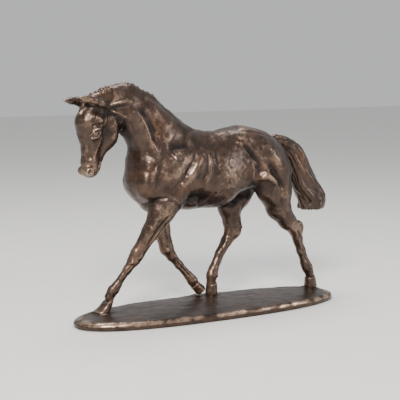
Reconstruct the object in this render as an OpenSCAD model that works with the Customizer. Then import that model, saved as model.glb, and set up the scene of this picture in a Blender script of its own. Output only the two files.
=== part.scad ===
// Bronze figure of a horse at an extended trot, on an oval cast base.
// The horse is cast in eight sections, joined face to face on dowel pins.
// Threaded studs in the hooves pass through the base and take nuts from below.
// The horse faces -X, its left side faces -Y, and the origin is the middle of the pad's underside.

/* [Base] */
// Length of the oval base
base_length = 260; // [240:1:300]
// Width of the oval base
base_width = 75; // [70:1:95]
// Height of the base at its rim, above the pad
base_height = 6.4; // [6:0.1:10]
// Rise of the base's top from the rim to the middle
base_crown = 1.8; // [0.5:0.1:3]
// How square the oval is: 2 is an ellipse
base_squareness = 2.5; // [2.3:0.1:3]
// Thickness of the felt pad
pad_thickness = 0.8; // [0.5:0.1:2]
// Distance from the base's edge to the pad's edge
pad_inset = 3; // [2:0.5:5]

/* [Horse] */
// Size of the horse compared with its base: 1 is 160 mm from breast to buttock
horse_scale = 1; // [0.85:0.01:1.02]
// Distance of the horse's middle plane from the base's middle, away from the viewer
horse_offset = 21; // [18:0.5:22]
// Turn of the head towards the horse's left, in degrees
head_turn = 18; // [5:1:24]
// Wall thickness of the hollow torso casting
torso_wall = 4; // [3:0.5:6]
// Number of plaits along the crest
plait_count = 12; // [8:1:14]
// Radius of one plait
plait_radius = 2.6; // [2:0.1:3.2]

/* [Joints] */
// Diameter of the pins in the leg, neck and head joints
dowel_diameter = 4; // [3:0.1:5]
// Length of those pins
dowel_length = 14; // [10:1:16]
// Diameter of the pin in the tail's root
tail_dowel_diameter = 3; // [2:0.1:4]
// Clearance around each pin
dowel_gap = 0.05; // [0.03:0.01:0.15]
// Diameter of the core plugs that close the torso's casting holes
plug_diameter = 5; // [3:0.5:7]

/* [Fasteners] */
// Thread diameter of the hoof studs
stud_diameter = 3; // [2.5:0.1:3.4]
// How deep each stud sits in its hoof
stud_depth = 5; // [3:0.5:5]
// Clearance around a stud where it passes the base and the washer
stud_gap = 0.2; // [0.1:0.05:0.3]
// Clearance around a stud in its hoof
thread_gap = 0.05; // [0.03:0.01:0.1]
// Width of a nut across its flats
nut_width = 5.5; // [5:0.1:6]
// Thickness of a nut
nut_thickness = 2.4; // [1.8:0.1:2.6]
// Diameter of a washer
washer_diameter = 7; // [6.8:0.1:7.4]
// Thickness of a washer
washer_thickness = 0.5; // [0.3:0.1:0.8]
// Clearance around a washer in its recess
recess_gap = 0.6; // [0.3:0.1:0.8]

/* [Hidden] */
$fn = 48;
ring_points = 32;
trace_steps = 9;
dark_bronze = [0.37, 0.30, 0.26];
rubbed_bronze = [0.55, 0.41, 0.32];
rim_top = pad_thickness + base_height;
recess_depth = nut_thickness + washer_thickness + 0.5;

// A muscle is [sideways flattening, blend radius, stations], and a station is [x, y, z, radius]
// with y from the horse's middle plane and z from the pad's underside, at a scale of 1.
// The trunk's muscles on the middle plane
middle_muscles = [
    [1.24, 8, [[-38, 0, 127, 30], [-12, 0, 125, 34], [14, 0, 125, 34], [38, 0, 130, 30], [56, 0, 135, 24]]],
    [1.02, 8, [[-47, 0, 132, 22], [-50, 0, 117, 20], [-46, 0, 104, 14]]],
    [1.00, 8, [[30, 0, 144, 18], [42, 0, 145, 18], [58, 0, 140.5, 18], [74, 0, 137, 15]]],
    [1.10, 6, [[-36, 0, 160, 13], [-14, 0, 151, 13], [6, 0, 146, 13]]]
];
// The neck from the shoulders to the poll
neck_muscles = [
    [1.45, 8, [[-26, 0, 138, 27], [-44, 0, 153, 27], [-59, -1, 170.5, 22.5], [-75, -2, 186, 17],
        [-89, -3, 187, 11]]],
    [1.60, 6, [[-100, -4, 190, 6], [-85, -3, 193, 8], [-68, -1.5, 194, 8.6], [-52, 0, 187, 8.4],
        [-36, 0, 172, 9], [-20, 0, 157, 10]]]
];
// The shoulder, upper arm and hip, the same on both sides
function paired_muscles(side) = [
    for (m = [
        [1.35, 6, [[-14, 11, 146, 12], [-34, 15, 130, 15], [-54, 14, 116, 13]]],
        [1.25, 6, [[-22, 15, 126, 13], [-36, 15, 106, 12]]],
        [1.00, 8, [[40, 11, 148, 12], [66, 9, 137, 14]]]
    ]) [m[0], m[1], [for (s = m[2]) [s[0], side * s[1], s[2], s[3]]]]
];
// The thighs, which differ with the stride
thigh_muscles = [
    [1.15, 6, [[56, -12, 134, 20], [70, -12, 122, 19], [74, -12, 104, 16]]],
    [1.20, 6, [[56, -15, 118, 12], [64, -14, 106, 11]]],
    [1.15, 6, [[52, 12, 134, 20], [54, 12, 118, 19], [46, 12, 100, 15]]],
    [1.20, 6, [[38, 15, 112, 11], [40, 14, 108, 11]]]
];
trunk_muscles = concat(middle_muscles, neck_muscles, paired_muscles(-1), paired_muscles(1), thigh_muscles);

// The four legs from the body to the pastern
left_fore = [1.15, 4, [[-36, -14, 104, 14], [-44, -13.5, 92, 11.5], [-54, -12, 75, 7.5], [-66, -10, 56, 6],
    [-69, -9.5, 51, 5.2], [-75, -9, 43, 3.6], [-84.5, -8.5, 30.5, 3.5], [-88.5, -8, 26, 4.4],
    [-92, -8, 20, 4.2]]];
right_fore = [1.15, 4, [[-34, 14, 104, 13], [-33, 13, 88, 10], [-31, 12, 70, 7.4], [-27, 11, 54, 6.2],
    [-22.5, 10.5, 47, 4.6], [-15, 10, 38, 3.7], [-5, 9.5, 26.5, 3.8], [-2, 9.2, 22.5, 4.6],
    [1, 9.2, 17.5, 4]]];
left_hind = [1.15, 4, [[74, -12, 104, 15], [78, -11.5, 88, 12], [89, -10.5, 74, 8.5], [98.5, -10, 66, 7.4],
    [101.5, -9.5, 55, 4.8], [105.5, -9, 44, 4.2], [111, -8.5, 31, 4.2], [113.5, -8.5, 26.5, 5],
    [116, -8.5, 20, 4.4]]];
right_hind = [1.15, 4, [[48, 12, 104, 14], [39, 11.5, 88, 11.5], [41, 11, 74, 8.5], [41.5, 10, 66, 8],
    [34, 9, 56, 5.2], [26, 7.5, 45, 4.4], [18.6, 5.8, 31, 4.4], [16.4, 5.2, 26, 5], [15.4, 4.8, 19, 4.4]]];

// The tail, held out from the dock
tail_muscles = [
    [1.35, 5, [[66, 0, 146, 6], [80, 0, 149, 5.5], [91, 0, 145, 6.2], [101, 0, 137, 8.2], [107, 0, 125, 10.2],
        [112.5, 0, 110, 11.4], [118.5, 0, 98, 11.6], [124, 0, 87, 11.8]]]
];
tail_end = [124, 0, 83, 90];
tail_tip = [124.5, 0, 82];

// The head, in its own frame: x back from the brow, y to the horse's right, z as above
head_muscles = [
    [1.10, 4, [[15, 0, 184, 11], [11.5, 0, 172, 12.8], [12.5, 0, 161, 11]]],
    [1.45, 4, [[25.5, 0, 172, 14.5], [26, 0, 161, 13]]],
    [1.20, 4, [[12, 0, 164, 10.5], [11.3, 0, 150, 8.8], [10.8, 0, 138, 7.8]]],
    [1.05, 3, [[10.6, 0, 139, 7.6], [10.4, 0, 133, 8.2]]],
    [1.30, 3, [[26, 0, 158, 11], [18, 0, 145, 6.6], [15, 0, 133, 5]]]
];
// Ears and eyes in the same frame, as [x, y, z, radius]; the right ear is laid a little lower
left_ear = [[19, -8, 187, 3.4], [9, -9.5, 190.5, 3.2], [-5, -9.2, 193, 0.9]];
right_ear = [[18, 8, 186, 3.4], [7, 9.5, 188.5, 3.2], [-7, 9.2, 190.5, 0.9]];
eye = [9.8, 8, 164, 3.6];
crown = [[20, 0, 190, 7], [27, 0, 192.5, 8]];
chin = [11, 0, 124.5];
poll = [14, 0, 196];
brow = [-118.5, -12];
head_side = [-sin(head_turn), cos(head_turn), 0];
head_back = [cos(head_turn), sin(head_turn), 0];
turned_head = [for (m = head_muscles) [m[0], m[1], [for (s = m[2]) concat(head_place(s), s[3])]]];
function head_place(s) = [
    brow.x + s[0] * head_back.x + s[1] * head_side.x,
    brow.y + s[0] * head_back.y + s[1] * head_side.y,
    s[2]
];

// Spines: [x, y, z, lean] of each ring's centre, where lean is the ring's backward tilt in degrees
neck_seat = [-50, 0, 157, 43];
throat_seat = [-84, -2, 181, -16];
// The plaits end at this ring of the neck's spine, sink this far in and lose this share of their size
plait_end = 6;
plait_sink = 0.3;
plait_taper = 0.25;
trunk_spine = [[86, 0, 128, -8], [70, 0, 130, -4], [40, 0, 130, 0], [0, 0, 126, 0], [-20, 0, 127, 8],
    [-36, 0, 138, 24], neck_seat];
cavity_spine = [[66, 0, 130, -4], [40, 0, 130, 0], [0, 0, 126, 0], [-20, 0, 127, 8], [-34, 0, 137, 22]];
neck_spine = [neck_seat, [-62, -1, 168, 30], [-73, -1.5, 176, 10], throat_seat];
head_heights = [125.5, 130, 136, 142, 149, 156, 163, 170, 177, 184, 190, 194];
// Where each limb leaves its own casting and joins the torso's, along its first stretches
left_fore_seat = [-49.3, -12.7, 83, 120];
right_fore_seat = [-32.1, 12.6, 80, 84];
left_hind_seat = [82.8, -11.1, 82, 52];
right_hind_seat = [40, 11.3, 82, 82];
tail_seat = [86, 0, 147.2, 0];
dock_spine = [[60, 0, 145, 0], [70, 0, 147, 0], tail_seat];

// Hooves: [x, y, radius on the ground, sole, coronet], where a sole or a coronet is
// [distance in x, height, tilt in degrees, radius] from the hoof's place on the ground
left_fore_hoof = [-98, -8, 7.2, [-2, 0, 0, 7.4], [4.8, 9, -24, 5.8]];
right_fore_hoof = [3.8, 9.2, 2.6, [3.5, 3.4, -38, 4.9], [-3.5, 10.2, -45, 4.6]];
left_hind_hoof = [117.5, -8.5, 6.2, [0, 0, 0, 6.2], [-1, 9.5, -14, 5.2]];
right_hind_hoof = [15.9, 4.5, 5.6, [0, 0, 0, 5.6], [0, 10, -12, 5]];
hooves = [left_fore_hoof, right_fore_hoof, left_hind_hoof, right_hind_hoof];
land_margin = 1.5;
land_height = 0.5;
disc_thickness = 0.8;
// Height of the middle of each pastern's end, where it runs into its hoof
ankle_height = 16;

// Core plugs: [x, up or down], through the torso's wall on its middle plane
plugs = [[-4, -1], [28, -1], [22, 1]];
plug_axis_height = 127;
plug_recess = 0.5;
// How far a plug's hole is cut outside the plug and inside the torso's wall
plug_cut_outside = 5;
plug_cut_inside = 3;
// Distance of the neck's two pins from the middle of its joint
neck_pin_spread = 11;
// Spare length in each pin hole and each stud hole, and the reach of a cut past a face
end_gap = 0.3;
past = 1;
longest_reach = 60;
// How far a ring may look for the surface, so that it stops at its own limb
trunk_reach = 75;
leg_reach = 24;
dock_reach = 16;
tail_reach = 18;
head_reach = 40;
// Side of the block that cuts the head off at the throat
throat_cut = 160;

// Places a point of the scale-1 horse on the base
function on_base(p) = [
    p[0] * horse_scale,
    p[1] * horse_scale + horse_offset,
    rim_top + (p[2] - 7.2) * horse_scale
];
function clamp(v) = max(0, min(1, v));
function oval_share(x, y) = pow(
    pow(abs(2 * x / base_length), base_squareness) + pow(abs(2 * y / base_width), base_squareness),
    1 / base_squareness
);
// Height of the base's top at a place
function ground(x, y) = rim_top + base_crown * (1 - pow(clamp(oval_share(x, y)), 2));
function hoof_spot(h) = [h[0] * horse_scale, h[1] * horse_scale + horse_offset];
function land_top(h) = ground(hoof_spot(h)[0], hoof_spot(h)[1]) + land_height;

// Distance from a point to one tapered stretch of a muscle, negative inside
function stretch_gap(p, a, b, k) =
    let (
        v = [b[0] - a[0], (b[1] - a[1]) * k, b[2] - a[2]],
        q = [p[0] - a[0], (p[1] - a[1]) * k, p[2] - a[2]],
        h = clamp(q * v / (v * v))
    ) norm(q - h * v) - a[3] - h * (b[3] - a[3]);
function muscle_gap(p, m) =
    min([for (i = [1 : len(m[2]) - 1]) stretch_gap(p, m[2][i - 1], m[2][i], m[0])]);
// Two distances melted into one over a blend radius k
function melt(a, b, k) = let (h = max(k - abs(a - b), 0) / k) min(a, b) - h * h * k / 4;
function body_gap(p, muscles, i = 0, gap = 100) =
    i == len(muscles) ? gap
    : body_gap(p, muscles, i + 1, melt(gap, muscle_gap(p, muscles[i]), muscles[i][1]));
// Distance from a ring's centre along d to the flesh's surface, less an inset
function reach(c, d, muscles, longest, inset, r = 0, step = 0) =
    step == trace_steps || r > longest ? min(r, longest)
    : reach(c, d, muscles, longest, inset, max(0.5, r - body_gap(c + d * r, muscles) - inset), step + 1);
function lean_up(lean) = [sin(lean), 0, cos(lean)];
function ring(c, u, v, muscles, longest, inset = 0) = [
    for (i = [0 : ring_points - 1])
        let (d = u * cos(360 * i / ring_points) + v * sin(360 * i / ring_points))
            c + d * reach(c, d, muscles, longest, inset)
];
function point_of(f) = [f[0], f[1], f[2]];
// A spine with each stretch cut into n
function refined(spine, n) = concat(
    [for (i = [1 : len(spine) - 1], j = [0 : n - 1]) spine[i - 1] + (spine[i] - spine[i - 1]) * j / n],
    [spine[len(spine) - 1]]
);
// A limb's spine from its stations, with rings square to it between two seats
function limb_spine(stations, from, to) = [
    for (i = [from : to])
        let (
            a = stations[max(i - 1, 0)],
            b = stations[min(i + 1, len(stations) - 1)]
        ) [stations[i][0], stations[i][1], stations[i][2], -atan2(b[2] - a[2], b[0] - a[0])]
];
function flesh(spine, muscles, longest, inset = 0) =
    [for (f = spine) ring(point_of(f), [0, 1, 0], lean_up(f[3]), muscles, longest, inset)];

// Rings joined into a closed skin, with each end drawn to a tip
module skin(rings, first_tip, last_tip) {
    n = len(rings[0]);
    m = len(rings);
    points = [for (r = rings, p = r) on_base(p)];
    sides = [for (i = [0 : m - 2], j = [0 : n - 1], half = [0, 1])
        let (a = i * n + j, b = i * n + (j + 1) % n)
            half == 0 ? [a, b, b + n] : [a, b + n, a + n]];
    first_cap = [for (j = [0 : n - 1]) [n * m, (j + 1) % n, j]];
    last_cap = [for (j = [0 : n - 1]) [n * m + 1, n * (m - 1) + j, n * (m - 1) + (j + 1) % n]];
    faces = concat(sides, first_cap, last_cap);
    // Rings that turn right-handed about their spine need their faces the other way round
    turn = cross(rings[0][1] - rings[0][0], rings[0][2] - rings[0][1]) * (last_tip - first_tip);
    polyhedron(
        points = concat(points, [on_base(first_tip), on_base(last_tip)]),
        faces = turn > 0 ? [for (f = faces) [f[2], f[1], f[0]]] : faces,
        convexity = 10
    );
}
module spine_skin(spine, muscles, longest, inset = 0, first_out = 0, last_out = 0) {
    last = len(spine) - 1;
    skin(
        flesh(spine, muscles, longest, inset),
        point_of(spine[0]) + [first_out, 0, 0],
        point_of(spine[last]) + [last_out, 0, 0]
    );
}
// Overlapping shapes melted into one casting's surface, at their own size
module casting() {
    resize([0, 0, 0]) union() children();
}
// Holds its children square to a seat's face, on the seat's middle
module at_seat(seat) {
    translate(on_base(point_of(seat))) rotate([0, seat[3] - 90, 0]) children();
}
module pin(diameter, length) {
    translate([0, 0, -length / 2]) cylinder(d = diameter, h = length);
}
module dowel() {
    pin(dowel_diameter, dowel_length);
}
module dowel_hole() {
    pin(dowel_diameter + 2 * dowel_gap, dowel_length + 2 * end_gap);
}

// Sections of the base: [share of the oval, height]
function base_profile() = concat(
    [for (f = [[0.985, 0], [1, 0.25], [1, 0.55], [0.99, 0.8]]) [f[0], pad_thickness + f[1] * base_height]],
    [for (share = [0.96, 0.9, 0.8, 0.65, 0.45, 0.25, 0.1])
        [share, rim_top + base_crown * (1 - share * share)]]
);
function oval_point(share, turn, z) = [
    share * base_length / 2 * sign(cos(turn)) * pow(abs(cos(turn)), 2 / base_squareness),
    share * base_width / 2 * sign(sin(turn)) * pow(abs(sin(turn)), 2 / base_squareness),
    z
];
module plinth() {
    n = 72;
    profile = base_profile();
    m = len(profile);
    polyhedron(
        points = [for (p = profile, i = [0 : n - 1]) oval_point(p[0], 360 * (i + 0.5) / n, p[1])],
        faces = concat(
            [for (i = [0 : m - 2], j = [0 : n - 1], half = [0, 1])
                let (a = i * n + j, b = i * n + (j + 1) % n)
                    half == 0 ? [a, b + n, b] : [a, a + n, b + n]],
            [[for (j = [0 : n - 1]) j], [for (j = [0 : n - 1]) m * n - 1 - j]]
        ),
        convexity = 10
    );
}
module hoof_lands() {
    for (h = hooves) {
        bottom = pad_thickness + recess_depth;
        translate([hoof_spot(h)[0], hoof_spot(h)[1], bottom])
            cylinder(r = h[2] * horse_scale + land_margin, h = land_top(h) - bottom, $fn = 32);
    }
}
// Its children at every hoof, on the base's underside
module at_hooves() {
    for (h = hooves)
        translate([hoof_spot(h)[0], hoof_spot(h)[1], pad_thickness])
            children();
}
module base() {
    color(rubbed_bronze)
        difference() {
            casting() {
                plinth();
                hoof_lands();
            }
            at_hooves() {
                cylinder(d = stud_diameter + 2 * stud_gap, h = base_height + base_crown + 2 * past);
                translate([0, 0, -past])
                    cylinder(d = washer_diameter + 2 * recess_gap, h = recess_depth + past);
            }
        }
}
module felt_pad() {
    n = 90;
    shrink = 1 - 2 * pad_inset / base_width;
    color("black")
        linear_extrude(pad_thickness)
            polygon([for (i = [0 : n - 1])
                let (p = oval_point(1, 360 * (i + 0.5) / n, 0))
                    [p[0] * (1 - 2 * pad_inset / base_length), p[1] * shrink]]);
}

// One leg: the stub on the torso down to the seat, and the casting below it
module leg_stub(leg, seat) {
    spine = refined(concat(limb_spine(leg[2], 0, 1), [seat]), 2);
    skin(
        flesh(spine, concat(trunk_muscles, [leg]), leg_reach),
        point_of(spine[0]),
        point_of(seat)
    );
}
module lower_leg(leg, seat, hoof) {
    last = len(leg[2]) - 1;
    spine = refined(concat([seat], limb_spine(leg[2], 2, last)), 2);
    ankle = [hoof[0] + hoof[4][0], hoof[1], ankle_height];
    color(dark_bronze)
        difference() {
            casting() {
                skin(flesh(spine, concat(trunk_muscles, [leg]), leg_reach), point_of(seat), ankle);
                hoof_block(hoof);
            }
            at_seat(seat) dowel_hole();
            translate([hoof_spot(hoof)[0], hoof_spot(hoof)[1], land_top(hoof) - past])
                cylinder(d = stud_diameter + 2 * thread_gap, h = stud_depth + end_gap + past);
        }
}
module left_foreleg() {
    lower_leg(left_fore, left_fore_seat, left_fore_hoof);
}
module right_foreleg() {
    lower_leg(right_fore, right_fore_seat, right_fore_hoof);
}
module left_hindleg() {
    lower_leg(left_hind, left_hind_seat, left_hind_hoof);
}
module right_hindleg() {
    lower_leg(right_hind, right_hind_seat, right_hind_hoof);
}
module hoof_disc(place) {
    translate([place[0] * horse_scale, 0, place[1] * horse_scale])
        rotate([0, place[2], 0])
            cylinder(r = place[3] * horse_scale, h = disc_thickness, $fn = 32);
}
module hoof_block(hoof) {
    translate([hoof_spot(hoof)[0], hoof_spot(hoof)[1], land_top(hoof)])
        hull() {
            cylinder(r = hoof[2] * horse_scale, h = disc_thickness, $fn = 32);
            hoof_disc(hoof[3]);
            hoof_disc(hoof[4]);
        }
}
module tail_stub() {
    skin(
        flesh(dock_spine, concat(trunk_muscles, tail_muscles), dock_reach),
        point_of(dock_spine[0]),
        point_of(tail_seat)
    );
}

function plug_centre(p) = [p[0], 0, plug_axis_height];
function plug_reach(p) = reach(plug_centre(p), [0, 0, p[1]], trunk_muscles, longest_reach, 0);
// Its children at every core plug's outer face, pointing inwards
module at_plugs() {
    for (p = plugs)
        translate(on_base(plug_centre(p) + [0, 0, p[1] * (plug_reach(p) - plug_recess)]))
            rotate([p[1] > 0 ? 180 : 0, 0, 0])
                children();
}
module torso() {
    color(dark_bronze)
        difference() {
            casting() {
                spine_skin(refined(trunk_spine, 6), trunk_muscles, trunk_reach, 0, 3, 0);
                leg_stub(left_fore, left_fore_seat);
                leg_stub(right_fore, right_fore_seat);
                leg_stub(left_hind, left_hind_seat);
                leg_stub(right_hind, right_hind_seat);
                tail_stub();
            }
            casting() spine_skin(refined(cavity_spine, 3), trunk_muscles, longest_reach, torso_wall);
            for (seat = [left_fore_seat, right_fore_seat, left_hind_seat, right_hind_seat])
                at_seat(seat) dowel_hole();
            at_neck_pins() dowel_hole();
            at_seat(tail_seat) tail_hole();
            at_plugs()
                translate([0, 0, -plug_cut_outside])
                    cylinder(d = plug_diameter, h = plug_cut_outside + torso_wall + plug_cut_inside);
        }
}
module at_neck_pins() {
    at_seat(neck_seat)
        for (side = [-1, 1])
            translate([side * neck_pin_spread, 0, 0])
                children();
}
module tail_hole() {
    pin(tail_dowel_diameter + 2 * dowel_gap, dowel_length + 2 * end_gap);
}

// Plaits along the crest from behind the poll, smaller towards the withers
module plaits() {
    spine = refined(neck_spine, 8);
    last = len(spine) - 2;
    for (i = [0 : plait_count - 1]) {
        share = i / (plait_count - 1);
        f = spine[round(last - share * (last - plait_end))];
        up = lean_up(f[3]);
        crest = reach(point_of(f), up, trunk_muscles, longest_reach, plait_sink);
        translate(on_base(point_of(f) + up * crest))
            sphere(r = plait_radius * (1 - plait_taper * share) * horse_scale, $fn = 12);
    }
}
module neck() {
    color(dark_bronze)
        difference() {
            casting() {
                spine_skin(refined(neck_spine, 5), concat(trunk_muscles, turned_head), longest_reach);
                plaits();
            }
            at_neck_pins() dowel_hole();
            at_seat(throat_seat) dowel_hole();
        }
}

module head_ball(p) {
    translate(on_base(head_place(p))) sphere(r = p[3] * horse_scale, $fn = 16);
}
// Balls of the head's frame joined in a row, for an ear or the crown
module head_row(stations) {
    for (i = [1 : len(stations) - 1])
        hull() {
            head_ball(stations[i - 1]);
            head_ball(stations[i]);
        }
}
module head() {
    rings = [for (z = head_heights)
        ring(head_place([z > 150 ? 14 : 10.5, 0, z]), head_side, head_back,
            concat(turned_head, neck_muscles), head_reach)];
    color(dark_bronze)
        difference() {
            casting() difference() {
                union() {
                    skin(rings, head_place(chin), head_place(poll));
                    for (stations = [left_ear, right_ear, crown]) head_row(stations);
                    for (side = [-1, 1]) head_ball([eye[0], side * eye[1], eye[2], eye[3]]);
                }
                at_seat(throat_seat)
                    translate([-throat_cut / 2, -throat_cut / 2, -throat_cut])
                        cube(throat_cut);
            }
            at_seat(throat_seat) dowel_hole();
        }
}
module tail() {
    hair = tail_muscles[0][2];
    spine = refined(concat([tail_seat], limb_spine(hair, 2, len(hair) - 2), [tail_end]), 3);
    color(dark_bronze)
        difference() {
            casting() skin(
                flesh(spine, tail_muscles, tail_reach),
                point_of(tail_seat),
                tail_tip
            );
            at_seat(tail_seat) tail_hole();
        }
}

module neck_dowels() {
    color("goldenrod") at_neck_pins() dowel();
}
module head_dowel() {
    color("goldenrod") at_seat(throat_seat) dowel();
}
module tail_dowel() {
    color("goldenrod") at_seat(tail_seat) pin(tail_dowel_diameter, dowel_length);
}
module foreleg_dowels() {
    color("goldenrod")
        for (seat = [left_fore_seat, right_fore_seat]) at_seat(seat) dowel();
}
module hindleg_dowels() {
    color("goldenrod")
        for (seat = [left_hind_seat, right_hind_seat]) at_seat(seat) dowel();
}
module hoof_studs() {
    color("silver")
        for (h = hooves)
            translate([hoof_spot(h)[0], hoof_spot(h)[1], pad_thickness + end_gap])
                cylinder(d = stud_diameter, h = land_top(h) - pad_thickness - end_gap + stud_depth);
}
module stud_washers() {
    color("silver")
        at_hooves()
            translate([0, 0, recess_depth - washer_thickness])
                difference() {
                    cylinder(d = washer_diameter, h = washer_thickness);
                    translate([0, 0, -past])
                        cylinder(d = stud_diameter + 2 * stud_gap, h = washer_thickness + 2 * past);
                }
}
module stud_nuts() {
    color("silver")
        at_hooves()
            translate([0, 0, recess_depth - washer_thickness - nut_thickness])
                difference() {
                    cylinder(d = nut_width / cos(30), h = nut_thickness, $fn = 6);
                    translate([0, 0, -past])
                        cylinder(d = stud_diameter + 2 * thread_gap, h = nut_thickness + 2 * past);
                }
}
module core_plugs() {
    color(dark_bronze) at_plugs() cylinder(d = plug_diameter, h = torso_wall);
}

base();
felt_pad();
torso();
neck();
head();
tail();
left_foreleg();
right_foreleg();
left_hindleg();
right_hindleg();
neck_dowels();
head_dowel();
tail_dowel();
foreleg_dowels();
hindleg_dowels();
hoof_studs();
stud_washers();
stud_nuts();
core_plugs();
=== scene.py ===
"""Bronze figure of a trotting horse on an oval base, modelled in clay-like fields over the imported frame.

The horse's frame is the row's: -X is ahead, -Y its left side, +Z up. Its sizes are in millimetres.
"""

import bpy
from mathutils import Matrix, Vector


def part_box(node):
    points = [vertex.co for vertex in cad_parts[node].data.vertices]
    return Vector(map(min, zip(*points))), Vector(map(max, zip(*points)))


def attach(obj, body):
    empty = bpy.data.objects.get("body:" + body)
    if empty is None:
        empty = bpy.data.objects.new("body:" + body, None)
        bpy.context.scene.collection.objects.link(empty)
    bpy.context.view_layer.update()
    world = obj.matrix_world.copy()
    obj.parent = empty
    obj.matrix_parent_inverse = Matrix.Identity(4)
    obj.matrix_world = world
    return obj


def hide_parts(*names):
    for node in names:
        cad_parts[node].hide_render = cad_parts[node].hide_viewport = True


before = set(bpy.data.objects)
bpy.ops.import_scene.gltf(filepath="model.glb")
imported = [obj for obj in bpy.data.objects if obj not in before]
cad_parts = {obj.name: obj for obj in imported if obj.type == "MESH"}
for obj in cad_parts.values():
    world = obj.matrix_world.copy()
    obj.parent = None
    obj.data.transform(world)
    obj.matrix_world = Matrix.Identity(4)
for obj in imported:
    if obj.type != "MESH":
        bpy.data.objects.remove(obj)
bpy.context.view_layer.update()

import copy
import math

import bmesh
import bpy
import numpy as np
from mathutils import Vector

MM = 0.001
VOXEL = 0.55
SEED = 7

# The horse stands off the base's middle: its tail's pin lies in its middle plane
HORSE_Y = sum(corner[1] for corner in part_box("tail_dowel")) / 2 / MM
LEFT, RIGHT = -1, 1

# ---------------------------------------------------------------- the horse's flesh
# A muscle is (sideways flattening, blend radius, [(x, y, z, radius), ...]), y from the middle plane.
TRUNK = [
    (1.24, 8, [(-38, 0, 127, 30), (-12, 0, 125, 34), (14, 0, 125, 34), (38, 0, 130, 30), (56, 0, 135, 24)]),
    (1.02, 8, [(-47, 0, 132, 22), (-50, 0, 117, 20), (-46, 0, 104, 14)]),
    (1.00, 8, [(30, 0, 144, 18), (42, 0, 145, 18), (58, 0, 140.5, 18), (74, 0, 137, 15)]),
    (1.10, 6, [(-36, 0, 160, 13), (-14, 0, 151, 13), (6, 0, 146, 13)]),
    (1.45, 8, [(-26, 0, 138, 27), (-44, 0, 153, 27), (-59, -1, 170.5, 22.5), (-75, -2, 186, 17),
               (-89, -3, 187, 11)]),
    (1.60, 6, [(-100, -4, 190, 6), (-85, -3, 193, 8), (-68, -1.5, 194, 8.6), (-52, 0, 187, 8.4),
               (-36, 0, 172, 9), (-20, 0, 157, 10)]),
]
# The same on both sides: shoulder, upper arm, hip
PAIRED = [
    (1.35, 6, [(-14, 11, 146, 12), (-34, 15, 130, 15), (-54, 14, 116, 13)]),
    (1.25, 6, [(-22, 15, 126, 13), (-36, 15, 106, 12)]),
    (1.00, 8, [(40, 11, 148, 12), (66, 9, 137, 14)]),
]
# The thighs, which differ with the stride
THIGHS = [
    (1.15, 6, [(56, -12, 134, 20), (70, -12, 122, 19), (74, -12, 104, 16)]),
    (1.20, 6, [(56, -15, 118, 12), (64, -14, 106, 11)]),
    (1.15, 6, [(52, 12, 134, 20), (54, 12, 118, 19), (46, 12, 100, 15)]),
    (1.20, 6, [(38, 15, 112, 11), (40, 14, 108, 11)]),
]
LEFT_FORE = (1.15, 4, [(-36, -14, 104, 14), (-44, -13.5, 92, 11.5), (-54, -12, 75, 7.5), (-66, -10, 56, 6),
                       (-69, -9.5, 51, 5.2), (-75, -9, 43, 3.6), (-84.5, -8.5, 30.5, 3.5),
                       (-88.5, -8, 26, 4.4), (-92, -8, 20, 4.2)])
RIGHT_FORE = (1.15, 4, [(-34, 14, 104, 13), (-33, 13, 88, 10), (-31, 12, 70, 7.4), (-27, 11, 54, 6.2),
                        (-22.5, 10.5, 47, 4.6), (-15, 10, 38, 3.7), (-5, 9.5, 26.5, 3.8),
                        (-2, 9.2, 22.5, 4.6), (1, 9.2, 17.5, 4)])
LEFT_HIND = (1.15, 4, [(74, -12, 104, 15), (78, -11.5, 88, 12), (89, -10.5, 74, 8.5), (98.5, -10, 66, 7.4),
                       (101.5, -9.5, 55, 4.8), (105.5, -9, 44, 4.2), (111, -8.5, 31, 4.2),
                       (113.5, -8.5, 26.5, 5), (116, -8.5, 20, 4.4)])
RIGHT_HIND = (1.15, 4, [(48, 12, 104, 14), (39, 11.5, 88, 11.5), (41, 11, 74, 8.5), (41.5, 10, 66, 8),
                        (34, 9, 56, 5.2), (26, 7.5, 45, 4.4), (18.6, 5.8, 31, 4.4),
                        (16.4, 5.2, 26, 5), (15.4, 4.8, 19, 4.4)])
LEGS = [LEFT_FORE, RIGHT_FORE, LEFT_HIND, RIGHT_HIND]

# The head, in its own frame: x back from the brow, y to the horse's right, z as the row's
HEAD_TURN = 18
BROW = (-118.5, -12)
HEAD = [
    (1.10, 4, [(15, 0, 184, 11), (11.5, 0, 172, 12.6), (12.5, 0, 161, 10.6)]),
    (1.45, 4, [(25.5, 0, 172, 14.5), (26, 0, 161, 13)]),
    (1.20, 4, [(12, 0, 164, 10), (11.3, 0, 150, 8.3), (10.8, 0, 138, 7.4)]),
    (1.05, 3, [(10.6, 0, 139, 7.2), (10.4, 0, 133, 7.9)]),
    (1.30, 3, [(26, 0, 158, 11), (18, 0, 145, 6.4), (15, 0, 133, 5)]),
    (1.30, 4, [(20, 0, 189.5, 7), (27, 0, 192, 8)]),
]

# Where each casting meets the next: (x, y, z, lean), lean being the joint's backward tilt in degrees
SEATS = {
    "neck": (-50, 0, 157, 43),
    "head": (-84, -2, 181, -16),
    "left_foreleg": (-49.3, -12.7, 83, 120),
    "right_foreleg": (-32.1, 12.6, 80, 84),
    "left_hindleg": (82.8, -11.1, 82, 52),
    "right_hindleg": (40, 11.3, 82, 82),
    "tail": (86, 0, 147.2, 0),
}

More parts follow.
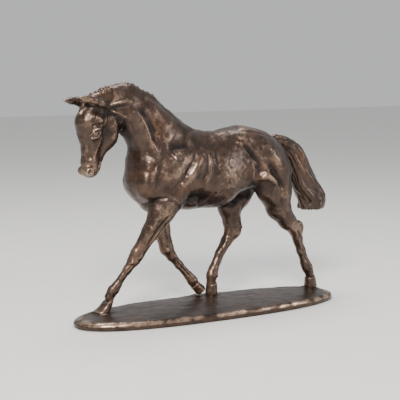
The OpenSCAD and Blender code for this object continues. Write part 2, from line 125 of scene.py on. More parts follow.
# Hooves: (x, y, sole, coronet), where a sole or a coronet is (dx, height, tilt in degrees, radius)
HOOVES = {
    "left_foreleg": (-98, -8, (-2, 0, 0, 7.8), (4.8, 9.3, -24, 5.8)),
    "right_foreleg": (3.8, 9.2, (3.5, 3.4, -38, 5.1), (-3.5, 10.2, -45, 4.7)),
    "left_hindleg": (117.5, -8.5, (0, 0, 0, 6.4), (-1, 9.5, -14, 5.2)),
    "right_hindleg": (15.9, 4.5, (0, 0, 0, 5.8), (0, 10, -12, 5.0)),
}


def head_place(x, y, z):
    """A point of the head's own frame in the row's frame, y from the horse's middle plane."""
    t = math.radians(HEAD_TURN)
    return (BROW[0] + x * math.cos(t) - y * math.sin(t), BROW[1] + x * math.sin(t) + y * math.cos(t), z)


# ---------------------------------------------------------------- fields
# The distance that empty clay starts with, and the room left around a shape that is melted in
FAR_AWAY = 40.0
ROOM = 3


def melt(a, b, k):
    """Two distances melted into one over a blend radius k."""
    h = np.maximum(k - np.abs(a - b), 0) / k
    return np.minimum(a, b) - h * h * (k / 4)


class Clay:
    """A block of clay: signed distances on a regular grid, negative inside, in millimetres."""

    def __init__(self, low, high, voxel):
        self.voxel = voxel
        self.low = np.floor(np.array(low, float) / voxel) * voxel
        count = np.ceil((np.array(high, float) - self.low) / voxel).astype(int) + 1
        self.field = np.full(count, FAR_AWAY, np.float32)
        self.axes = [(self.low[i] + voxel * np.arange(count[i])).astype(np.float32) for i in range(3)]

    def window(self, low, high):
        """The slices of a box, and its coordinates as three arrays that broadcast together."""
        first = np.floor((np.array(low) - self.low) / self.voxel).astype(int)
        last = np.ceil((np.array(high) - self.low) / self.voxel).astype(int) + 1
        first = np.clip(first, 0, self.field.shape)
        last = np.clip(last, first, self.field.shape)
        at = tuple(slice(a, b) for a, b in zip(first, last))
        x, y, z = (self.axes[i][at[i]] for i in range(3))
        return at, (x[:, None, None], y[None, :, None], z[None, None, :])

    def melt_in(self, gap, at, blend):
        self.field[at] = melt(self.field[at], gap.astype(np.float32), blend)

    def muscle(self, flatten, blend, stations):
        """Adds a chain of tapered limbs with round ends."""
        s = np.array(stations, float)
        margin = s[:, 3].max() + blend + ROOM
        at, place = self.window(s[:, :3].min(0) - margin, s[:, :3].max(0) + margin)
        self.melt_in(chain_gap(place, s, flatten), at, blend)

    def sample(self, points):
        """The field at points, between the grid's own by straight lines."""
        q = (points - self.low) / self.voxel
        q = np.clip(q, 0, np.array(self.field.shape) - 1.001)
        i = q.astype(int)
        f = q - i
        out = np.zeros(len(points))
        for corner in np.ndindex(2, 2, 2):
            c = np.array(corner)
            weight = np.prod(np.where(c, f, 1 - f), axis=1)
            out += weight * self.field[tuple((i + c).T)]
        return out

    def slope(self, points):
        """The field's direction of growth at points: the surface's outward normal."""
        step = self.voxel
        n = np.stack([self.sample(points + d) - self.sample(points - d) for d in np.eye(3) * step], axis=1)
        return n / np.maximum(np.linalg.norm(n, axis=1)[:, None], 1e-9)


def stretch_gap(place, a, b, flatten):
    x, y, z = place
    v = (b[0] - a[0], (b[1] - a[1]) * flatten, b[2] - a[2])
    q = (x - a[0], (y - a[1]) * flatten, z - a[2])
    length = v[0] ** 2 + v[1] ** 2 + v[2] ** 2
    h = np.clip((q[0] * v[0] + q[1] * v[1] + q[2] * v[2]) / length, 0, 1)
    gap = np.sqrt((q[0] - h * v[0]) ** 2 + (q[1] - h * v[1]) ** 2 + (q[2] - h * v[2]) ** 2)
    return gap - a[3] - h * (b[3] - a[3])


def chain_gap(place, stations, flatten, blend=2.5):
    out = None
    for a, b in zip(stations[:-1], stations[1:]):
        gap = stretch_gap(place, a, b, flatten)
        out = gap if out is None else melt(out, gap, blend)
    return out


def surface(field, low, voxel):
    """The zero surface of a field as (vertices, quads), by surface nets."""
    inside = field < 0
    cells = np.array(field.shape) - 1
    corners = list(np.ndindex(2, 2, 2))
    count = np.zeros(cells, np.int8)
    for i, j, k in corners:
        count += inside[i:cells[0] + i, j:cells[1] + j, k:cells[2] + k]
    active = (count > 0) & (count < 8)
    cell = np.argwhere(active)
    number = np.full(active.shape, -1, np.int32)
    number[active] = np.arange(len(cell))
    total = np.zeros((len(cell), 3))
    crossings = np.zeros(len(cell))
    for corner in corners:
        for axis in range(3):
            if corner[axis]:
                continue
            far = list(corner)
            far[axis] = 1
            a = field[tuple((cell + corner).T)]
            b = field[tuple((cell + far).T)]
            cut = (a < 0) != (b < 0)
            share = np.where(cut, a / np.where(cut, a - b, 1), 0)
            point = np.tile(np.array(corner, float), (len(cell), 1))
            point[:, axis] += share
            total += point * cut[:, None]
            crossings += cut
    vertices = (cell + total / crossings[:, None]) * voxel + low
    return vertices, net_quads(inside, number)


def net_quads(inside, number):
    quads = []
    for axis in range(3):
        side = [i for i in range(3) if i != axis]
        here = [slice(None)] * 3
        there = [slice(None)] * 3
        here[axis] = slice(0, -1)
        there[axis] = slice(1, None)
        a, b = inside[tuple(here)], inside[tuple(there)]
        edge = np.argwhere(a != b)
        for s in side:
            edge = edge[(edge[:, s] > 0) & (edge[:, s] < number.shape[s])]
        ring = []
        for du, dv in ((-1, -1), (0, -1), (0, 0), (-1, 0)):
            cell = edge.copy()
            cell[:, side[0]] += du
            cell[:, side[1]] += dv
            ring.append(number[tuple(cell.T)])
        quad = np.stack(ring, axis=1)
        outward = a[tuple(edge.T)] if axis != 1 else ~a[tuple(edge.T)]
        quad[~outward] = quad[~outward][:, ::-1]
        quads.append(quad)
    return np.concatenate(quads)


# ---------------------------------------------------------------- strokes of the modelling tool
# Half of the span in y that a stroke may touch
SIDE_REACH = 60


def stroke(clay, path, width, height, side=None, reach=None):
    """Raises a ridge (or cuts a groove, with height below 0) along a path seen from the side.

    path is [(x, z), ...]; side is LEFT or RIGHT of the middle plane, or None for both. reach gives the
    lowest and highest y that it touches instead. Both ends taper off.
    """
    p = np.array(path, float)
    margin = 3 * width
    spans = {LEFT: (-SIDE_REACH, 0), RIGHT: (0, SIDE_REACH), None: (-SIDE_REACH, SIDE_REACH)}
    low_y, high_y = reach or spans[side]
    low = (p[:, 0].min() - margin, HORSE_Y + low_y, p[:, 1].min() - margin)
    high = (p[:, 0].max() + margin, HORSE_Y + high_y, p[:, 1].max() + margin)
    at, (x, _, z) = clay.window(low, high)
    gap, along = path_gap(x[:, 0, :], z[:, 0, :], p)
    fade, least = 0.18, 0.15
    taper = np.clip(np.minimum(along, 1 - along) / fade, least, 1)
    shape = height * taper * np.exp(-((gap / width) ** 2))
    clay.field[at] -= shape[:, None, :].astype(np.float32)


def path_gap(x, z, path):
    """Distance to a path in the plane, and the share of its length reached at the nearest point."""
    lengths = np.linalg.norm(np.diff(path, axis=0), axis=1)
    total = lengths.sum()
    best = np.full(np.broadcast(x, z).shape, 1e9)
    along = np.zeros(best.shape)
    start = 0.0
    for a, b, length in zip(path[:-1], path[1:], lengths):
        h = np.clip(((x - a[0]) * (b[0] - a[0]) + (z - a[1]) * (b[1] - a[1])) / length**2, 0, 1)
        gap = np.hypot(x - a[0] - h * (b[0] - a[0]), z - a[1] - h * (b[1] - a[1]))
        nearer = gap < best
        best = np.where(nearer, gap, best)
        along = np.where(nearer, (start + h * length) / total, along)
        start += length
    return best, along


def bead(clay, centre, radius, blend):
    """Melts a ball in; with radius below 0 it cuts a ball out."""
    c = np.array(centre, float)
    r = abs(radius)
    at, (x, y, z) = clay.window(c - r - ROOM, c + r + ROOM)
    gap = (np.sqrt((x - c[0]) ** 2 + (y - c[1]) ** 2 + (z - c[2]) ** 2) - r).astype(np.float32)
    if radius > 0:
        clay.field[at] = melt(clay.field[at], gap, blend)
    else:
        clay.field[at] = -melt(-clay.field[at], gap, blend)


def on_row(points):
    """Stations from the horse's middle plane to the row frame."""
    return [(x, y + HORSE_Y, z, *rest) for x, y, z, *rest in points]


def on_head(points):
    """Stations from the head's own frame to the row frame."""
    return on_row([(*head_place(x, y, z), *rest) for x, y, z, *rest in points])


def model_masses(clay):
    paired = [
        (flatten, blend, [(x, side * y, z, r) for x, y, z, r in stations])
        for flatten, blend, stations in PAIRED
        for side in (LEFT, RIGHT)
    ]
    for flatten, blend, stations in TRUNK + paired + THIGHS + LEGS:
        clay.muscle(flatten, blend, on_row(stations))
    for flatten, blend, stations in HEAD:
        clay.muscle(flatten, blend, on_head(stations))


def model_hoof(clay, name):
    """A hoof between its sole and its coronet, standing on its land."""
    x0, y0, sole, coronet = HOOVES[name]
    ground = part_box(name)[0][2] / MM
    centre = [np.array([x0 + d[0], y0 + HORSE_Y, ground + d[1]]) for d in (sole, coronet)]
    leans = [math.radians(disc[2]) for disc in (sole, coronet)]
    normal = [np.array([math.sin(lean), 0, math.cos(lean)]) for lean in leans]
    margin = sole[3] + 4
    at, (x, y, z) = clay.window(centre[0] - margin, centre[1] + margin)
    over_sole = sum(n * (c - o) for n, c, o in zip(normal[0], (x, y, z), centre[0]))
    over_coronet = sum(n * (c - o) for n, c, o in zip(normal[1], (x, y, z), centre[1]))
    t = np.clip(over_sole / np.maximum(over_sole - over_coronet, 0.1), 0, 1)
    middle = [a + t * (b - a) for a, b in zip(*centre)]
    offset = [c - m for c, m in zip((x, y, z), middle)]
    lean = [a + t * (b - a) for a, b in zip(*normal)]
    rise = sum(o * n for o, n in zip(offset, lean))
    radius = sole[3] + t * (coronet[3] - sole[3])
    wall = np.sqrt(np.maximum(sum(o * o for o in offset) - rise**2, 0)) - radius
    gap = np.maximum(wall * 0.94, np.maximum(-over_sole, over_coronet))
    gap = np.maximum(gap, ground - z)
    clay.melt_in(gap, at, 1.2)


# The tail's middle line and half-width, (x, z, radius), from the dock to its squared end
TAIL_PATH = [(66, 146, 6), (80, 149, 5.5), (91, 145, 6.2), (101, 137, 8.2), (107, 125, 10.2),
             (112.5, 110, 11.4), (118, 98, 11.6), (122.5, 88, 12.2), (123.5, 83.5, 12.2)]
TAIL_LOCKS = 11
# The tail is cut at this height, behind this place
TAIL_END = (98, 82.3)


def model_tail(clay):
    """The tail: a core and wavy locks of hair around it, cut square at the end."""
    path = np.array(TAIL_PATH, float)
    clay.muscle(1.35, 3, on_row([(x, 0, z, 0.62 * r) for x, z, r in path]))
    rng = np.random.default_rng(SEED)
    fine = np.linspace(0, len(path) - 1, 40)
    core = np.stack([np.interp(fine, range(len(path)), path[:, i]) for i in range(3)], axis=1)
    share = np.linspace(0, 1, len(core))
    along = np.gradient(core[:, :2], axis=0)
    along /= np.linalg.norm(along, axis=1)[:, None]
    down = np.array([0.15, -1.0])
    along += (share**3)[:, None] * (down - along)
    for lock in range(TAIL_LOCKS):
        angle = 2 * np.pi * (lock + rng.uniform(-0.25, 0.25)) / TAIL_LOCKS
        wave = np.sin(2 * np.pi * (1.5 * share + 0.12 * rng.uniform()))
        wave += 0.5 * np.sin(2 * np.pi * (3.1 * share + rng.uniform()))
        turn = angle + 0.9 * share + 0.42 * share * wave
        spread = core[:, 2] * (0.72 + 0.10 * np.sin(2 * np.pi * (2.3 * share + rng.uniform())))
        x = core[:, 0] - along[:, 1] * spread * np.cos(turn)
        z = core[:, 1] + along[:, 0] * spread * np.cos(turn)
        y = spread * np.sin(turn) / 1.35
        swell = 1 + 0.14 * np.sin(2 * np.pi * (2.7 * share + rng.uniform()))
        radius = 0.31 * core[:, 2] * rng.uniform(0.7, 1.3) * swell
        first = rng.integers(0, 9)
        last = len(core) - rng.integers(0, 2)
        clay.muscle(1.0, 0.3, on_row(list(zip(x, y, z, radius))[first:last]))
    low, high = (np.array(corner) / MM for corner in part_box("tail"))
    at, (x, y, z) = clay.window((TAIL_END[0], low[1] - 4, low[2] - 8), high + 4)
    ragged = TAIL_END[1] + 0.5 * np.sin(0.9 * x + 1.3 * y) + 0.35 * np.sin(2.1 * x - 0.8 * y)
    clay.field[at] = -melt(-clay.field[at], (z - ragged).astype(np.float32), 0.8)


# How many plaits there are, the first one's radius, and where the first and the last are tied, in x
PLAITS = 13
PLAIT_SIZE = 2.5
PLAIT_SPAN = (-105, -46)


def crest_y(x):
    """The crest's sideways place, which follows the turned head near the poll."""
    return HORSE_Y + np.interp(x, [-106, -84, -44], [-7.0, -2.8, 0])


def crest_top(clay, x):
    """Height of the flesh under a plait."""
    heights = np.arange(160.0, 212.0, 0.25)
    column = np.stack([np.full_like(heights, x), np.full_like(heights, crest_y(x)), heights], axis=1)
    return heights[np.flatnonzero(clay.sample(column) < 0)[-1]]


def model_mane(clay):
    """Plaits tied along the crest, from behind the ears to the middle of the neck."""
    places = np.linspace(*PLAIT_SPAN, PLAITS)
    tops = [crest_top(clay, x) for x in places]
    for i, (x, top) in enumerate(zip(places, tops)):
        size = PLAIT_SIZE * (1 - 0.02 * i)
        bead(clay, (x, crest_y(x), top - 1.2), size, 0.6)
        bead(clay, (x + 0.8, crest_y(x) - 2.6, top - 3.4), size * 0.85, 1.4)


# The body's broad forms, on both sides: (path, width, height)
BODY_FORMS = [
    ([(-76, 187), (-67, 173), (-59, 158), (-51, 144)], 4.0, 1.9),
    ([(-79, 172), (-74, 158), (-69, 143)], 4.2, -2.2),
    ([(-62, 186), (-55, 172), (-48, 158)], 2.8, -1.9),
    ([(-50, 190), (-41, 177), (-32, 165)], 5.0, 1.1),
    ([(-90, 183), (-82, 180), (-75, 175)], 3.0, 1.6),
    ([(-24, 150), (-36, 134), (-48, 118)], 5.5, 1.8),
    ([(-12, 140), (-22, 122), (-34, 112)], 4.2, 1.7),
    ([(-42, 152), (-28, 149), (-15, 151)], 4.0, -1.7),
    ([(-56, 142), (-62, 128), (-64, 114)], 5.0, 1.2),
    ([(-22, 102), (-12, 105), (-1, 99)], 5.2, -3.2),
    ([(4, 138), (18, 128), (34, 118)], 9.0, 1.1),
    ([(30, 152), (38, 142), (46, 132), (50, 121)], 4.4, -2.6),
    ([(53, 107), (44, 102), (32, 98)], 5.0, -2.6),
    ([(52, 152), (62, 142), (70, 128)], 5.5, 1.7),
    ([(47, 117), (57, 119), (67, 111)], 3.8, 2.0),
    ([(56, 135), (66, 121), (74, 106)], 3.8, -2.0),
    ([(34, 163), (48, 161), (62, 156)], 4.0, 0.8),
]
# What the strokes below are scaled by: their width on the body, and their height on the body and the legs
BODY_STROKE_WIDTH = 1.15
BODY_STROKE_HEIGHT = 0.62
LEG_STROKE_HEIGHT = 1.05
# Strokes on the trunk and neck, on both sides: (path, width, height)
BODY_STROKES = [
    ([(-90, 182), (-82, 185), (-74, 187)], 1.6, -1.6),
    ([(-93, 184), (-85, 188), (-76, 190), (-68, 188)], 1.7, 3.4),
    ([(-72, 190), (-67, 179), (-60, 167), (-56, 157), (-52, 146), (-46, 138)], 2.4, 2.2),
    ([(-65, 189), (-61, 179), (-55, 167), (-51, 150)], 1.9, -2.3),
    ([(-73, 179), (-72, 165), (-70, 151), (-67, 138)], 4.2, -2.6),
    ([(-73, 168), (-68, 156)], 1.2, 0.8),
    ([(-58, 193), (-51, 186), (-46, 179)], 2.4, 1.4),
    ([(-50, 178), (-42, 167), (-37, 158), (-43, 150)], 3.4, 1.7),
    ([(-47, 162), (-44, 153)], 1.6, -1.2),
    ([(-91, 181), (-83, 179), (-76, 175), (-77, 171)], 1.9, 2.2),
    ([(-57, 148), (-49, 137)], 2.5, 1.2),
    ([(-40, 148), (-30, 147), (-18, 150)], 2.8, -1.4),
    ([(-51, 135), (-55, 126), (-59, 111), (-59, 102)], 1.2, 1.1),
    ([(-48, 134), (-52, 124), (-55, 111)], 2.0, -1.3),
    ([(-37, 140), (-29, 145)], 1.8, 1.4),
    ([(-14, 146), (-21, 134), (-29, 122), (-38, 113)], 1.7, -2.0),
    ([(-9, 143), (-16, 132), (-24, 121)], 3.2, 1.6),
    ([(-24, 142), (-32, 130), (-39, 121)], 2.8, 1.5),
    ([(-2, 148), (-1, 136), (-3, 125), (-7, 116), (-12, 112)], 1.3, 1.5),
    ([(-6, 144), (-5, 134), (-8, 124), (-13, 116)], 2.0, -1.3),
    ([(3, 146), (4, 135), (1, 122), (-3, 112)], 2.4, -1.3),
    ([(-22, 101), (-12, 106), (0, 98)], 4.5, -2.6),
    ([(-57, 100), (-50, 105), (-43, 106), (-36, 101), (-30, 94)], 1.3, -1.7),
    ([(27, 153), (35, 145), (41, 137), (49, 128)], 1.4, 1.5),
    ([(33, 151), (40, 142), (47, 133), (53, 125)], 2.2, -2.2),
    ([(40, 135), (44, 126), (43, 115)], 1.3, 1.6),
    ([(36, 133), (39, 125), (38, 114)], 2.0, -1.0),
    ([(50, 108), (42, 105), (30, 99)], 4.0, -2.0),
    ([(30, 160), (44, 160), (60, 156), (70, 152)], 1.0, -0.8),
]
# Strokes on the left thigh, and on the right one, which stands further forward
LEFT_THIGH_STROKES = [
    ([(46, 116), (55, 121), (65, 114), (71, 103)], 2.2, 2.4),
    ([(59, 143), (66, 134), (71, 125)], 3.4, 2.0),
    ([(48, 137), (55, 132), (65, 121), (74, 108)], 2.6, -2.2),
    ([(77, 140), (82, 126), (83, 112), (82, 98)], 2.2, -1.6),
    ([(70, 100), (78, 88), (84, 78)], 1.8, -1.5),
    ([(58, 104), (66, 94), (75, 84)], 2.4, 1.4),
    ([(88, 88), (95, 78), (100, 71)], 1.3, -1.2),
]
RIGHT_THIGH_STROKES = [
    ([(28, 116), (36, 120), (45, 113), (49, 102)], 2.2, 2.2),
    ([(50, 143), (57, 134), (61, 124)], 3.4, 1.9),
    ([(40, 137), (46, 131), (54, 120), (58, 106)], 2.6, -2.0),
    ([(70, 140), (73, 126), (70, 112), (62, 98)], 2.2, -1.6),
    ([(38, 97), (36, 85), (39, 76)], 1.8, -1.3),
    ([(47, 94), (46, 82)], 1.2, -1.1),
]
# Strokes on the legs, each within its own leg's side: (path, width, height)
LEG_STROKES = {
    "left_foreleg": [
        ([(-40, 92), (-50, 78), (-60, 62)], 1.4, -1.3), ([(-48, 92), (-57, 76)], 2.0, 1.0),
        ([(-64, 56), (-67, 52)], 1.5, 1.0), ([(-72, 52), (-73, 48)], 1.4, 1.0),
        ([(-72, 44), (-80, 34), (-84, 29)], 0.8, -0.9), ([(-83, 27), (-85, 23)], 1.2, 0.9),
        ([(-99, 21), (-91, 14)], 0.6, -0.6),
    ],
    "right_foreleg": [
        ([(-33, 92), (-32, 78), (-29, 62)], 1.4, -1.3), ([(-30, 56), (-28, 51)], 1.4, 0.9),
        ([(-22, 50), (-20, 46)], 1.4, 0.9), ([(-19, 42), (-8, 30), (-3, 25)], 0.8, -0.9),
        ([(1, 24), (3, 21)], 1.2, 0.9),
    ],
    "left_hindleg": [
        ([(98, 73), (104, 70)], 1.5, 1.3), ([(96, 66), (101, 58)], 1.3, -0.9),
        ([(104, 62), (106, 52), (109, 42)], 0.8, -0.9), ([(99, 58), (104, 46)], 1.2, 0.8),
        ([(113, 29), (117, 27)], 1.3, 0.9), ([(108, 38), (112, 31)], 0.8, -0.6),
    ],
    "right_hindleg": [
        ([(46, 72), (50, 68)], 1.6, 1.3), ([(37, 68), (36, 60)], 1.3, -0.9),
        ([(40, 62), (33, 50), (26, 38)], 0.8, -0.9), ([(33, 60), (27, 49)], 1.2, 0.8),
        ([(20, 28), (22, 24)], 1.3, 0.9),
    ],
}


def model_strokes(clay):
    for path, width, height in BODY_FORMS:
        stroke(clay, path, width, height)
    for strokes, side in ((BODY_STROKES, None), (LEFT_THIGH_STROKES, LEFT), (RIGHT_THIGH_STROKES, RIGHT)):
        for path, width, height in strokes:
            stroke(clay, path, BODY_STROKE_WIDTH * width, BODY_STROKE_HEIGHT * height, side)
    for name, strokes in LEG_STROKES.items():
        side = LEFT if name.startswith("left") else RIGHT
        for path, width, height in strokes:
            stroke(clay, path, width, LEG_STROKE_HEIGHT * height, side)


def model_marks(clay):
    """Short random tool marks, where the modeller left the clay rough: (x range, z range, how many)."""
    rng = np.random.default_rng(SEED)
    patches = [((-40, -4), (108, 146), 90), ((2, 38), (102, 140), 90), ((-62, -34), (60, 98), 40),
               ((-54, -38), (140, 176), 30), ((50, 80), (104, 146), 40), ((76, 106), (58, 100), 30)]
    for (x0, x1), (z0, z1), many in patches:
        for _ in range(many):
            x, z = rng.uniform(x0, x1), rng.uniform(z0, z1)
            turn = rng.choice([0.9, 2.2]) + rng.normal(0, 0.35)
            half = rng.uniform(1.2, 3.4)
            dx, dz = half * math.cos(turn), half * math.sin(turn)
            side = rng.choice([LEFT, RIGHT])
            height = rng.choice([-0.4, 0.34]) * rng.uniform(0.5, 1.1)
            stroke(clay, [(x - dx, z - dz), (x + dx, z + dz)], rng.uniform(0.8, 1.7), height, side)


def lattice_noise(points, cell, seed):
    """Smooth noise from -1 to 1 at points, on a lattice of that cell size."""
    q = points / cell
    i = np.floor(q).astype(np.int64)
    f = q - i
    f = f * f * (3 - 2 * f)
    total = np.zeros(len(points))
    for corner in np.ndindex(2, 2, 2):
        c = np.array(corner)
        key = (i + c) @ np.array([73856093, 19349663, 83492791]) + seed * 7919
        key = (key ^ (key >> 13)) * 1274126177 & 0x7FFFFFFF
        total += np.prod(np.where(c, f, 1 - f), axis=1) * ((key / 0x3FFFFFFF) - 1)
    return total


def model_grain(clay):
    """The uneven skin of hand-pressed clay, worked into the field near its surface."""
    near = np.abs(clay.field) < 2.5
    cell = np.argwhere(near)
    points = clay.low + cell * clay.voxel
    skin = 0.26 * lattice_noise(points, 5.6, 1) + 0.16 * lattice_noise(points, 2.8, 2)
    skin += 0.08 * lattice_noise(points, 1.6, 3)
    clay.field[near] += skin.astype(np.float32)


# ---------------------------------------------------------------- the head's features
def head_stroke(clay, path, width, height, side):
    """A stroke on the head's side: path is [(x, z), ...] in the head's own frame."""
    half = 10.5
    near, far = 1, 30
    points = [head_place(x, side * half, z) for x, z in path]
    middle = head_place(path[len(path) // 2][0], 0, 0)[1]
    reach = (middle - far, middle - near) if side == LEFT else (middle + near, middle + far)
    stroke(clay, [(p[0], p[2]) for p in points], width, height, reach=reach)


# Strokes on each side of the head, in its own frame: (path, width, height)
HEAD_STROKES = [
    ([(3.4, 160.4), (6.2, 165.0), (10.5, 167.4), (15.8, 166.6)], 0.8, 1.7),
    ([(3.4, 160.4), (7.0, 158.8), (11.5, 160.0), (15.4, 164.6)], 0.8, 1.3),
    ([(5.0, 162.0), (8.0, 165.2), (12.0, 165.8)], 0.5, -0.6),
    ([(5.5, 156.6), (11.0, 157.2), (15.5, 161.0)], 1.0, -0.9),
    ([(4.5, 169.0), (9.0, 171.0), (14.5, 170.4)], 1.5, -1.5),
    ([(7.0, 177.5), (12.0, 176.0), (16.0, 172.5)], 2.4, 2.7),
    ([(6.0, 181.0), (12.0, 182.5), (17.0, 179.0)], 1.6, -1.0),
    ([(17.5, 167.0), (20.5, 173.0), (22.0, 181.0)], 1.3, 1.3),
    ([(16.5, 161.0), (18.0, 168.0), (23.0, 174.0)], 1.4, -0.6),
    ([(25.0, 172.0), (31.0, 169.0), (31.5, 162.0), (26.0, 157.0)], 4.2, 2.0),
    ([(16.0, 157.0), (11.5, 151.0), (9.0, 144.0), (7.5, 138.0)], 1.5, 1.0),
    ([(5.0, 156.0), (5.0, 148.0), (5.0, 140.0)], 2.0, -1.0),
    ([(18.0, 177.0), (26.0, 180.0), (33.0, 177.0)], 1.2, -1.4),
    ([(40.0, 174.0), (41.0, 164.0)], 1.5, -1.5),
    ([(14.5, 139.0), (13.0, 134.5), (11.5, 130.0), (10.0, 126.5)], 0.7, -1.1),
    ([(16.0, 140.0), (16.0, 133.0)], 1.2, 0.9),
    ([(8.0, 136.5), (4.5, 135.5)], 0.9, -0.7),
]
# Eyes, nostrils and the nostrils' holes, in the head's own frame: (x, y, z), radius
EYE = ((9.8, 7.2, 163.0), 4.0)
NOSTRIL = ((5.8, 5.0, 131.4), 3.7)
NOSTRIL_HOLE = ((5.2, 8.8, 131.0), -2.9)


def model_head(clay):
    for side in (LEFT, RIGHT):
        for ((x, y, z), radius), blend in ((EYE, 0.5), (NOSTRIL, 2.0)):
            bead(clay, on_head([(x, side * y, z)])[0], radius, blend)
        for path, width, height in HEAD_STROKES:
            head_stroke(clay, path, width, height, side)
        (x, y, z), radius = NOSTRIL_HOLE
        bead(clay, on_head([(x, side * y, z)])[0], radius, 0.7)
        model_ear(clay, side)
    clay.muscle(1.0, 2.0, on_head([(11, 0, 190, 3.0), (5, 0, 186, 2.4), (1, 0, 180, 1.4)]))


# An ear from its root to its tip, and the hollow in it: (x, y, z, radius) in the head's own frame
EAR = [(23, 7.5, 185, 3.0), (16, 8.6, 188, 4.1), (8, 9.2, 190.6, 3.9), (1, 9.0, 192.4, 2.8),
       (-6, 8.4, 193.6, 0.8)]
EAR_HOLLOW = [(12, 10.6, 184.6, 0.9), (6, 10.8, 187.2, 1.0), (1.5, 9.8, 190, 0.6)]
# How far the right ear's tip is laid forwards and down
RIGHT_EAR_DROP = (-2.5, -3.0)


def model_ear(clay, side):
    """An ear pricked forwards, with its hollow turned outwards and down."""
    def laid(stations):
        drop = RIGHT_EAR_DROP if side == RIGHT else (0, 0)
        return on_head([(x + drop[0] * (19 - x) / 24, side * y, z + drop[1] * (19 - x) / 24, r)
                        for x, y, z, r in stations])

    clay.muscle(1.0, 1.2, laid(EAR))
    stations = np.array(laid(EAR_HOLLOW))
    at, place = clay.window(stations[:, :3].min(0) - 6, stations[:, :3].max(0) + 6)
    gap = chain_gap(place, stations, 1.0).astype(np.float32)
    clay.field[at] = -melt(-clay.field[at], gap, 0.6)


# ---------------------------------------------------------------- from clay to castings
def seat_plane(name):
    """A joint's place and its direction, which points into the casting that the joint is named after."""
    x, y, z, lean = SEATS[name]
    place = np.array([x, y + HORSE_Y, z], float)
    across = np.array([math.cos(math.radians(lean)), 0, -math.sin(math.radians(lean))])
    ahead = name in ("neck", "head")
    return place, -across if ahead else across


def casting_zone(name):
    """The box that holds a casting, with room for its surface's relief."""
    low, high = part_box(name)
    room = 6.0
    return [v / MM - room for v in low], [v / MM + room for v in high]


def cut_castings(vertices, quads):
    """The horse's surface cut at its joints: {casting: (vertices, faces)}."""
    mesh = bpy.data.meshes.new("whole_horse")
    mesh.from_pydata(vertices.tolist(), [], quads.tolist())
    bm = bmesh.new()
    bm.from_mesh(mesh)
    bpy.data.meshes.remove(mesh)
    names = ["torso"] + list(SEATS)
    uncut = (0, names.index("neck"))
    label = bm.faces.layers.int.new("casting")
    for number, name in enumerate(names[1:], 1):
        place, direction = (Vector(v) for v in seat_plane(name))
        box = casting_zone(name)
        zone = [f for f in bm.faces if f[label] in uncut and in_box(f.calc_center_median(), *box)]
        geometry = zone + list({e for f in zone for e in f.edges}) + list({v for f in zone for v in f.verts})
        bmesh.ops.bisect_plane(bm, geom=geometry, dist=1e-5, plane_co=place, plane_no=direction)
        for f in bm.faces:
            if f[label] in uncut:
                middle = f.calc_center_median()
                if (middle - place).dot(direction) > 0 and in_box(middle, *box):
                    f[label] = number
    bm.verts.index_update()
    points = np.array([v.co for v in bm.verts])
    faces = [[] for _ in names]
    for f in bm.faces:
        faces[f[label]].append([v.index for v in f.verts])
    bm.free()
    return {name: capped(points, part) for name, part in zip(names, faces)}


def in_box(p, low, high):
    return low[0] <= p[0] <= high[0] and low[1] <= p[1] <= high[1] and low[2] <= p[2] <= high[2]


def capped(points, faces):
    """One casting's own vertices and faces, with each open joint closed by a fan."""
    used = sorted({i for f in faces for i in f})
    number = {old: new for new, old in enumerate(used)}
    faces = [[number[i] for i in f] for f in faces]
    points = points[used]
    directed = {(f[i - 1], f[i]) for f in faces for i in range(len(f))}
    after = {b: a for a, b in directed if (b, a) not in directed}
    extra = []
    while after:
        start, here = next(iter(after.items()))
        loop = [start]
        after.pop(start)
        while here != start and here in after:
            loop.append(here)
            here = after.pop(here)
        centre = len(points) + len(extra)
        extra.append(points[loop].mean(axis=0))
        faces += [[centre, loop[i - 1], loop[i]] for i in range(len(loop))]
    if extra:
        points = np.vstack([points, extra])
    return points, faces


def smoothed(clay):
    """Two smoother copies of the clay: a point's distance in one tells how proud it stands (or how sunk)."""
    fine = copy.copy(clay)
    fine.field = blurred(clay.field, 2 * round(0.8 / VOXEL) + 1)
    broad = copy.copy(clay)
    broad.field = blurred(fine.field, 2 * round(3.6 / VOXEL) + 1)
    return fine, broad


def blurred(field, size):
    """Box blur over size cells, twice, along each axis."""
    out = field
    for axis in range(3):
        for _ in range(2):
            pad = [(0, 0)] * 3
            pad[axis] = (size // 2 + 1, size // 2)
            total = np.cumsum(np.pad(out, pad, mode="edge"), axis=axis, dtype=np.float64)
            ends = [slice(None)] * 3
            starts = [slice(None)] * 3
            ends[axis] = slice(size, None)
            starts[axis] = slice(None, -size)
            out = ((total[tuple(ends)] - total[tuple(starts)]) / size).astype(np.float32)
    return out


# Where hands have rubbed the patina through, partly a painted highlight on lit areas, and painted shade where
# shadow falls in hollows such as the elbow, groin, neck and under the belly and tail: (x, z, radius, share)
WEAR_AND_PAINTED_LIGHT_PATCHES = [
    (19, 126, 15, 0.5), (-30, 128, 11, 0.45), (-43, 155, 9, 0.35), (-57, 176, 7, 0.3), (62, 136, 8, 0.25),
    (57, 117, 7, 0.45), (-45, 95, 8, 0.3), (-112, 132, 7, 0.3), (40, 164, 12, 0.15), (95, 68, 8, 0.3),
    (-13, 103, 9, -1.5), (48, 105, 9, -1.6), (36, 97, 9, -1.3), (-73, 160, 7, -0.9), (84, 120, 9, -0.6),
    (-48, 182, 8, -0.2), (112, 100, 16, -0.7), (100, 142, 12, -0.5), (10, 94, 14, -0.5),
    (-66, 112, 9, -0.5), (-3, 150, 12, -0.25), (60, 98, 7, -0.6),
]


def wear_and_painted_light(points):
    """How much more each point is rubbed bright, partly as a painted highlight, or darkened by painted shade,
    than its relief alone would make it.
    """
    total = np.zeros(len(points))
    for x, z, radius, share in WEAR_AND_PAINTED_LIGHT_PATCHES:
        gap = (points[:, 0] - x) ** 2 + (points[:, 2] - z) ** 2
        total += share * np.exp(-gap / radius**2)
    return total


